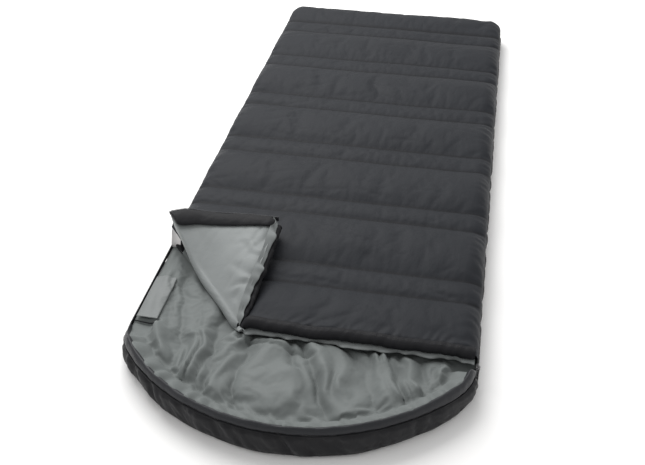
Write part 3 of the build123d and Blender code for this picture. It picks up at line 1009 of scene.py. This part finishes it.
def buildTrayLining():
    style = trayStyle
    rows = tRows(style["cell"], headY, style["fineTo"]) + tRows(style["coarse"], style["fineTo"], footY)[1:]
    count = round(2 * wallX / style["cell"])

    def place(i, j):
        x, y = bagPoint(2 * i / count - 1, rows[j])
        s, gap = headPlace(x, y)
        if y < rimStartY:
            point, out = headPath(s)
            pull = 0.009 * rimLift(s) * clamp(1 - gap / 0.2)
            x, y = x - out.x * pull, y - out.y * pull
        elif abs(x) > wallX - style["inset"]:
            x = copysign(wallX - style["inset"], x)
        y = min(y, footY - style["inset"])
        return (x, y, trayHeight(x, y)), (x, rows[j])

    piece = gridSheet("trayLining", count, len(rows) - 1, place, shadedLiningCloth)
    pins = []
    for vertex in piece.data.vertices:
        x, y = vertex.co.xy
        gap = headPlace(x, y)[1]
        inTray = ease((hemY + 0.06 - y) / 0.06)
        free = max(inTray, openCorner(x, y) * 0.8) * ease((gap - 0.042) / 0.015)
        pins.append(1 - free)
    settleCloth(piece, pins, style["sim"])
    return piece


underStyle = {"cell": 0.011, "level": 0.0492, "inset": 0.008, "bump": 0.0020, "seamLift": 0.0018}


def buildCoverLining():
    style = underStyle
    rows = tRows(style["cell"], hemY + 0.012, footY)
    count = round(2 * wallX / style["cell"])

    def place(i, j):
        y = min(rows[j], footY - style["inset"])
        x = (2 * i / count - 1) * footHalfWidth(y, style["inset"])
        bumps = creased(wave(x, y * 0.7, 0, 0.07, 21.0), 0.6) - 0.5
        return (x, y, style["level"] + style["bump"] * bumps + style["seamLift"] * seamPinch(y)), (x, rows[j])

    return gridSheet("coverLining", count, len(rows) - 1, place, shadedLiningCloth)


flapStyle = {
    "cell": 0.0050, "inset": 0.008, "roll": 0.013, "rollRun": 0.080, "turning": 0.036, "slant": 0.060,
    "dome": 0.006, "ripple": 0.0060,
}
foldMid = Vector((-wallX + foldLeg / 2, hemY + foldLeg / 2))
foldAlong = Vector((foldLine.x, foldLine.y))
foldAcross = Vector((foldOut.x, foldOut.y))
foldHalf = foldLeg / root2


def flapPoint(a, b):
    # where a point of the flat corner lies once turned over; a and b run from its side and its hem
    style = flapStyle
    q, p = (a + b - foldLeg) / root2, (a - b) / root2
    nearHem = ease(1 - b / 0.13)
    crumple = creased(folds(a, b, 0.045, 3.5, 0.35, 30.5), 0.55) - 0.5
    rows = ridge(a / 0.045 + 0.35 * b / 0.045 + 1.3 * wave(a, b, 0, 0.06, 17.7)) - 0.5
    ripples = nearHem * rows * style["ripple"]
    soft = 0.004 * crumple * (0.3 + nearHem) + ripples * ease(b / 0.02)
    if q <= 0:
        place = foldMid + foldAlong * p - foldAcross * q
        dome = style["dome"] * ease(min(a, b) / 0.06) * ease(-q / 0.08)
        return foldWarp(place.x, place.y, foldStyle["top"] + dome + soft * ease(-q / 0.03), True)
    share = clamp(p / (foldHalf + q), -1, 1)
    place = foldMid + foldAlong * share * foldHalf
    top = foldLevels(0.0, (share + 1) / 2)[0]
    ends = ease((1 - abs(share)) / 0.16)
    reach = style["roll"] * mix(0.4, 1.0, ends) * (1 + 0.15 * wave(share, 0, 0, 0.3, 5.0))
    angle = pi * min(1.0, q / style["rollRun"])
    x, y, _ = foldWarp(place.x, place.y, 0.1, False)
    lean = foldStyle["lean"] * (1 - ease((share + 1) / 2 / 0.5)) * (1 - cos(angle)) / 2
    out = reach * sin(angle) - lean
    x, y = x - foldAcross.x * out, y - foldAcross.y * out
    middle = (top + foldStyle["low"]) / 2
    return x, y, middle + (top - middle) * cos(angle) + 0.002 * crumple * sin(angle)


def buildFlapLining(name, rolled):
    # the turned corner's lining, or the roll of it round the fold
    style = flapStyle
    size = foldLeg + root2 * style["rollRun"]
    count = round(size / style["cell"])
    bm = bmesh.new()
    bmesh.ops.create_grid(bm, x_segments=count, y_segments=count, size=0.5)
    for vertex in bm.verts:
        a, b = (style["inset"] + (size - style["inset"]) * (c + 0.5) for c in vertex.co.xy)
        vertex.co = (a, b, 0)
    cutAt(bm, (size / 2, size / 2, 0), foldOut, clear_outer=True)
    turning = Vector((foldLeg / 2, foldLeg / 2, 0)) + foldOut * (style["turning"] - style["slant"] / 2)
    slanted = foldOut + Vector((1, -1, 0)).normalized() * style["slant"] / (2 * foldHalf)
    cutAt(bm, turning, slanted, clear_inner=rolled, clear_outer=not rolled)
    uvLayer = bm.loops.layers.uv.new("cloth")
    for face in bm.faces:
        face.smooth = True
        for loop in face.loops:
            loop[uvLayer].uv = loop.vert.co.xy
    for vertex in bm.verts:
        vertex.co = flapPoint(vertex.co.x, vertex.co.y)
    return makePiece(name, bm, litLiningCloth)


def sheetArea(piece):
    bm = openMesh(piece)
    area = sum(face.calc_area() for face in bm.faces)
    bm.free()
    return area


trayLining = finishPiece(buildTrayLining(), "base", "lining_fabric", "base_lining", "rim_lining")
coverLining = buildCoverLining()
bm = openMesh(coverLining)
cutAt(bm, foldPoint, foldOut, clear_inner=True)
closeMesh(bm, coverLining)
warpPiece(coverLining, False)
finishPiece(coverLining, "cover", "lining_fabric", "cover_lining")
cornerLining = buildFlapLining("cornerLining", False)
finishPiece(cornerLining, "corner_flap", "lining_fabric", "corner_lining")
foldRoll = finishPiece(buildFlapLining("foldRoll", True), "cover", "lining_fabric")
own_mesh(foldRoll)
sheetArea(trayLining) * 0.97
sheetArea(coverLining)
sheetArea(cornerLining)
sheetArea(foldRoll)

print("hem")
hemStyle = {"cell": 0.0034, "ruffle": 0.0075, "turn": 0.05, "bandWidth": 0.50, "fullness": 1.02}


def acrossHem(name, keys, steps, wobble, material):
    # a strip along the whole hem, before its corner is turned over
    low, high = -wallX + 0.004, wallX - 0.008
    count = round((high - low) / hemStyle["cell"])

    def place(i, j):
        x = mix(low, high, i / count)
        share = j / steps
        y, z = along(keys, share)
        dy, dz = wobble(x, share)
        return (x, hemY + y + dy, z + dz), (x, share * 0.03)

    return gridSheet(name, count, steps, place, material)


def bandWobble(x, share):
    amount = sin(share * pi) * 0.7 + 0.3
    pucker = creased(wave(x + 0.006 * share, 0, 0, 0.019, 2.9), 0.7) - 0.5
    sag = 0.007 * wave(x, 0, 0, 0.13, 9.5) + 0.0035 * wave(x, 0, 0, 0.045, 7.5)
    return (0.0030 * amount * pucker + 0.006 * wave(x, 0, 0, 0.10, 4.0) + 0.003 * wave(x, 0, 0, 0.04, 14.0),
            0.0022 * amount * pucker + sag * (1 - 0.5 * share))


def ruffleWobble(x, share):
    free = ease((x + wallX - foldLeg + 0.005) / 0.02)  # small on the turned corner
    out = sin(share * pi)
    ruck = wave(x, 0, 0, 0.022, 6.1) + 1.5 * wave(x, 0, 0, 0.060, 3.3)
    return -hemStyle["ruffle"] * out * mix(-0.6, 1.0, free) * (0.75 + 1.6 * ruck), 0.0060 * out * ruck - 0.002


bandKeys = [(0.020, 0.0930), (0.013, 0.0955), (0.005, 0.0945), (-0.002, 0.0905),
            (-0.0060, 0.0850), (-0.0065, 0.0790), (-0.004, 0.0740), (0.004, 0.0715)]
ruffleKeys = [(0.010, 0.0730), (0.001, 0.0725), (-0.003, 0.0700), (-0.004, 0.0665),
              (0.000, 0.0620), (0.007, 0.0560), (0.016, 0.0490)]
hemBand = acrossHem("hemBand", bandKeys, 14, bandWobble, trimCloth)
hemRuffle = acrossHem("hemRuffle", ruffleKeys, 10, ruffleWobble, litLiningCloth)
cornerHem = splitAtFold(hemBand, "cornerHem")
cornerRuffle = splitAtFold(hemRuffle, "cornerRuffle")
for strip, turned in ((hemBand, False), (hemRuffle, False), (cornerHem, True), (cornerRuffle, True)):
    warpPiece(strip, turned)


def buildHemTurn():
    # the band's short bend round the end of the fold
    steps, rounds = 14, 10

    def place(i, j):
        y, z = along(bandKeys, i / steps)
        y += hemY
        x = foldPoint.x + foldPoint.y - y
        start = Vector(foldWarp(x, y, z, False))
        end = Vector(foldWarp(*(turnOver @ Vector((x, y, z))), True))
        angle = pi * j / rounds
        point = start.lerp(end, (1 - cos(angle)) / 2) - foldOut * 0.010 * sin(angle)
        return tuple(point), (z, j * 0.003)

    return gridSheet("hemTurn", steps, rounds, place, litLiningCloth)


hemTurn = hingePiece(buildHemTurn(), "lining_fabric", levels=1)
sheetArea(hemTurn)
finishPiece(hemBand, "cover", "trim_fabric", "cover_hem", levels=1)
hingePiece(cornerHem, "trim_fabric", "corner_hem", levels=1)
finishPiece(hemRuffle, "cover", "lining_fabric", levels=1)
hingePiece(cornerRuffle, "lining_fabric", levels=1)
for strip in (hemBand, cornerHem, hemRuffle, cornerRuffle):
    length = hemStyle["bandWidth"] if strip in (hemBand, hemRuffle) else foldLeg
    area = sheetArea(strip)
    flat = (length, area / length * hemStyle["fullness"])

print("draft tubes")
tubeStyle = {
    "centre": 0.392, "level": 0.0466, "wide": 0.0185, "high": 0.0046, "flapHigh": 0.0064, "cell": 0.0058,
    "stretch": 0.008,
}


def buildTube(name, side):
    style = tubeStyle
    low, high = hemY + 0.006, footY - footRadius
    count = round((high - low) / style["cell"])
    rounds = 20

    def place(i, j):
        y = mix(low, high, i / count)
        angle = 2 * pi * j / rounds
        turned = ease((hemY + foldLeg - y) / 0.02) if side < 0 else 0.0
        ends = max(sqrt(clamp((y - low) / 0.016)) * sqrt(clamp((high - y) / 0.016)), 0.25)
        puff = 1 + 0.26 * wave(y, side, 0, 0.035, 3.0) + 0.20 * wave(y, angle, 0, 0.016, 8.0)
        tall = mix(style["high"], style["flapHigh"], turned) * puff * ends
        wide = style["wide"] * (1 + 0.08 * wave(y, side, 0, 0.05, 6.0)) * ends
        pinch = 1 - 0.25 * seamPinch(y) * (1 - turned)
        x = side * style["centre"] + wide * cos(angle) + 0.001 * wave(y, 0, 0, 0.04, 1.0)
        return (x, y, style["level"] + tall * pinch * sin(angle)), (y, 0.005 * j)

    piece = gridSheet(name, count, rounds, place, trimCloth)
    bm = openMesh(piece)
    bmesh.ops.remove_doubles(bm, verts=bm.verts, dist=1e-6)
    bmesh.ops.holes_fill(bm, edges=bm.edges, sides=rounds)
    bmesh.ops.recalc_face_normals(bm, faces=bm.faces)
    closeMesh(bm, piece)
    return piece


leftTube = buildTube("leftDraftTube", -1)
cornerTube = splitAtFold(leftTube, "cornerDraftTube", True)
for vertex in cornerTube.data.vertices:  # its end reaches the outer edge
    vertex.co.x -= tubeStyle["stretch"] * ease(1 - (vertex.co.x + wallX) / 0.12)
warpPiece(leftTube, False)
warpPiece(cornerTube, True)
rightTube = buildTube("rightDraftTube", 1)
finishPiece(leftTube, "cover", "shell_fabric", "left_draft_tube", "left_draft_tube_filling", levels=1)
hingePiece(cornerTube, "shell_fabric", "corner_draft_tube", "corner_draft_tube_filling", levels=1)
finishPiece(rightTube, "cover", "shell_fabric", "right_draft_tube", "right_draft_tube_filling", levels=1)

print("stitches")
stitchStyle = {"step": 0.0046, "long": 0.0032, "wide": 0.0007, "sink": 0.0001}


def surfaceOf(piece):
    bm = openMesh(piece)
    tree = bvhtree.BVHTree.FromBMesh(bm)
    bm.free()
    return lambda x, y: (tree.ray_cast(Vector((x, y, 0.5)), Vector((0, 0, -1)))[0] or Vector((x, y, 0.045))).z


def stitchLine(name, line, heightAt):
    # small rounded stitches laid end to end along lines of points
    seed = bmesh.new()
    bmesh.ops.create_icosphere(seed, subdivisions=1, radius=0.5)
    bmesh.ops.scale(seed, vec=(stitchStyle["long"], stitchStyle["wide"], stitchStyle["wide"]), verts=seed.verts)
    for face in seed.faces:
        face.smooth = True
    places = []
    for ends in line:
        low, high = (Vector((x, y, heightAt(x, y))) for x, y in ends)
        turn = (high - low).to_track_quat("X", "Z").to_matrix().to_4x4()
        middle = (low + high) / 2 + Vector((0, 0, stitchStyle["sink"]))
        places.append(Matrix.Translation(middle) @ turn)
    return finishPiece(repeatShape(name, seed, places, darkThread), "cover", "trim_fabric")


def seamLine():
    pairs = []
    for number, seam in enumerate(seams):
        half = footHalfWidth(seam, 0.010)
        count = round(2 * half / stitchStyle["step"])
        spots = []
        for k in range(count + 1):
            x = -half + 2 * half * k / count
            spots.append((x, seam + 0.0035 * wave(x, (number + 1) * 3.0, 0, 0.11, 1.7)))
        for low, high in zip(spots, spots[1:]):
            if foldPlace(*low)[0] > 0.22 or low[1] > foldPoint.y + 0.03:
                pairs.append((low, high))
    return pairs


def hemLine():
    count = round((wallX - 0.012 - (foldPoint.x + foldLeg)) / stitchStyle["step"])
    spots = [(mix(foldPoint.x + foldLeg, wallX - 0.012, k / count), hemY + 0.0085) for k in range(count + 1)]
    return list(zip(spots, spots[1:]))


stitchLine("seamStitches", seamLine(), surfaceOf(coverQuilt))
stitchLine("hemStitches", hemLine(), surfaceOf(hemBand))

print("pocket and label")
pocketLow, pocketHigh = corners("inner_pocket")
labelLow, labelHigh = corners("care_label")


liningAt = surfaceOf(trayLining)
pocketStyle = {"lift": 0.0022, "bow": 0.004, "cell": 0.003, "thick": 0.0006, "trim": 0.0014}


def buildPocket():
    wide, long = pocketHigh.x - pocketLow.x, pocketHigh.y - pocketLow.y
    columns, rows = round(wide / pocketStyle["cell"]), round(long / pocketStyle["cell"])
    spots = [(pocketLow.x + wide * k / 4, pocketLow.y + long * m / 8) for k in range(1, 5) for m in range(9)]
    level = max(liningAt(x, y) for x, y in spots)

    def place(i, j):
        u, v = i / columns, j / rows
        x, y = mix(pocketLow.x, pocketHigh.x, u), mix(pocketLow.y, pocketHigh.y, v)
        edge = sin(pi * u) * 0.6 + 0.4
        bow = pocketStyle["bow"] * edge * (0.5 + 0.5 * u) * (1 - 0.4 * v)
        z = mix(liningAt(x, y), level, 0.5) + pocketStyle["lift"] + bow + 0.001 * wave(x, y, 0, 0.03, 40.0)
        y -= 0.006 * u * (1 - v)
        return (x, y, z), (x, y)

    return thicken(gridSheet("innerPocket", columns, rows, place, pocketCloth), pocketStyle["thick"])


innerPocket = finishPiece(buildPocket(), "base", "lining_fabric", "inner_pocket")
pocketEdge = []
for k in range(25):
    u = k / 24
    x = mix(pocketLow.x - 0.003, pocketHigh.x + 0.002, u)
    y = pocketLow.y - 0.004 - 0.007 * sin(u * pi * 0.8)
    pocketEdge.append((x, y, liningAt(x, y) + mix(0.0035, 0.006, sin(u * pi))))
finishPiece(runCord("pocketTrim", pocketEdge, pocketStyle["trim"]), "base", "trim_fabric")


labelStyle = {"columns": 10, "rows": 18, "length": 0.052, "stand": 0.055, "thick": 0.0004}


def buildLabel():
    columns, rows = labelStyle["columns"], labelStyle["rows"]

    def place(i, j):
        u, v = i / columns, j / rows
        x = mix(labelLow.x, labelHigh.x, u) - 0.006 + 0.004 * v
        y = labelHigh.y - 0.012 + 0.008 * v + 0.004 * sin(u * pi)
        z = labelLow.z + 0.002 + labelStyle["stand"] * v
        return (x, y, z), (x, y)

    return thicken(gridSheet("careLabel", columns, rows, place, labelCloth), labelStyle["thick"])


careLabel = finishPiece(buildLabel(), "base", "label_fabric", "care_label", levels=1)

print("zips")
zipStyle = {"pitch": 0.0030, "thick": 0.0017, "wide": 0.0024, "bevel": 0.0005, "sunk": 0.0002, "reach": 0.0008,
            "tape": 0.0008}
zipLow = (lowerCoilLow.z, lowerCoilHigh.z + zipStyle["reach"])
zipHigh = (upperCoilLow.z - zipStyle["reach"], upperCoilHigh.z)


def toothRow(name, fromS, toS, upper=True):
    # one small bevelled tooth, repeated along the outline; the upper teeth sit half a pitch later
    low, high = zipHigh if upper else zipLow
    seed = bmesh.new()
    bmesh.ops.create_cube(seed, size=1.0)
    bmesh.ops.scale(seed, vec=(zipStyle["thick"], zipStyle["wide"], high - low), verts=seed.verts)
    bmesh.ops.bevel(seed, geom=seed.edges[:], affect="EDGES", offset=zipStyle["bevel"],
                    segments=1, profile=0.5, material=-1)
    count = round((toS - fromS) / zipStyle["pitch"])
    late = zipStyle["pitch"] / 2 if upper else 0.0
    sunk = zipStyle["sunk"]
    places = []
    for k in range(count + 1):
        point, out = sidePath(mix(fromS, toS, k / count))
        turn = Matrix.Rotation(atan2(out.y, out.x) - pi / 2, 4, "Z")
        x, y = point.x - out.x * sunk - out.y * late, point.y - out.y * sunk + out.x * late
        places.append(Matrix.Translation((x, y, (low + high) / 2)) @ turn)
    return repeatShape(name, seed, places, toothNylon)


flapStart = hemY + foldLeg - rimStartY
lowerTeeth = toothRow("lowerTeeth", 0.006, sideRunLength - 0.006, False)
rightTeeth = toothRow("rightTeeth", sideRunLength - leftRun + 0.002, sideRunLength - 0.006)
leftTeeth = toothRow("leftTeeth", flapStart + 0.046, leftRun - 0.045)
footTeeth = toothRow("footTeeth", leftRun + 0.002, sideRunLength - leftRun - 0.002)
cornerTeeth = toothRow("cornerTeeth", hemY - rimStartY + 0.005, flapStart - 0.004)
cornerTeeth.data.transform(turnOver)
warpPiece(cornerTeeth, True)


def buildCornerTape():
    # the zip's tape on the turned corner
    low, high = upperCoilHigh.z - 0.0006, coverLow.z + 0.0010
    count = round(foldLeg / 0.006)

    def place(i, j):
        y = mix(hemY + 0.003, foldPoint.y - 0.002, i / count)
        point = turnOver @ Vector((-wallX + 0.0004, y, mix(low, high, j / 2)))
        return foldWarp(*point, True), (y, j * 0.004)

    return thicken(gridSheet("cornerTape", count, 2, place, tapeCloth), zipStyle["tape"])


hingePiece(buildCornerTape(), "zip_tape", "corner_zip_tape")
finishPiece(lowerTeeth, "base", "zip_coil", "lower_zip_coil")
finishPiece(rightTeeth, "base", "zip_coil", "right_zip_coil")
finishPiece(leftTeeth, "cover", "zip_coil", "left_zip_coil")
finishPiece(footTeeth, "cover", "zip_coil", "foot_zip_coil")
hingePiece(cornerTeeth, "zip_coil", "corner_zip_coil")

for name, node in frame["nodes"].items():
    if name.endswith("_tape"):
        kept = tapeCloth
    elif name.endswith("_slider_body") or "_pull_" in name or name == "zip_stops":
        kept = sliderMetal
    else:
        continue
    node.data.materials.clear()
    node.data.materials.append(kept)
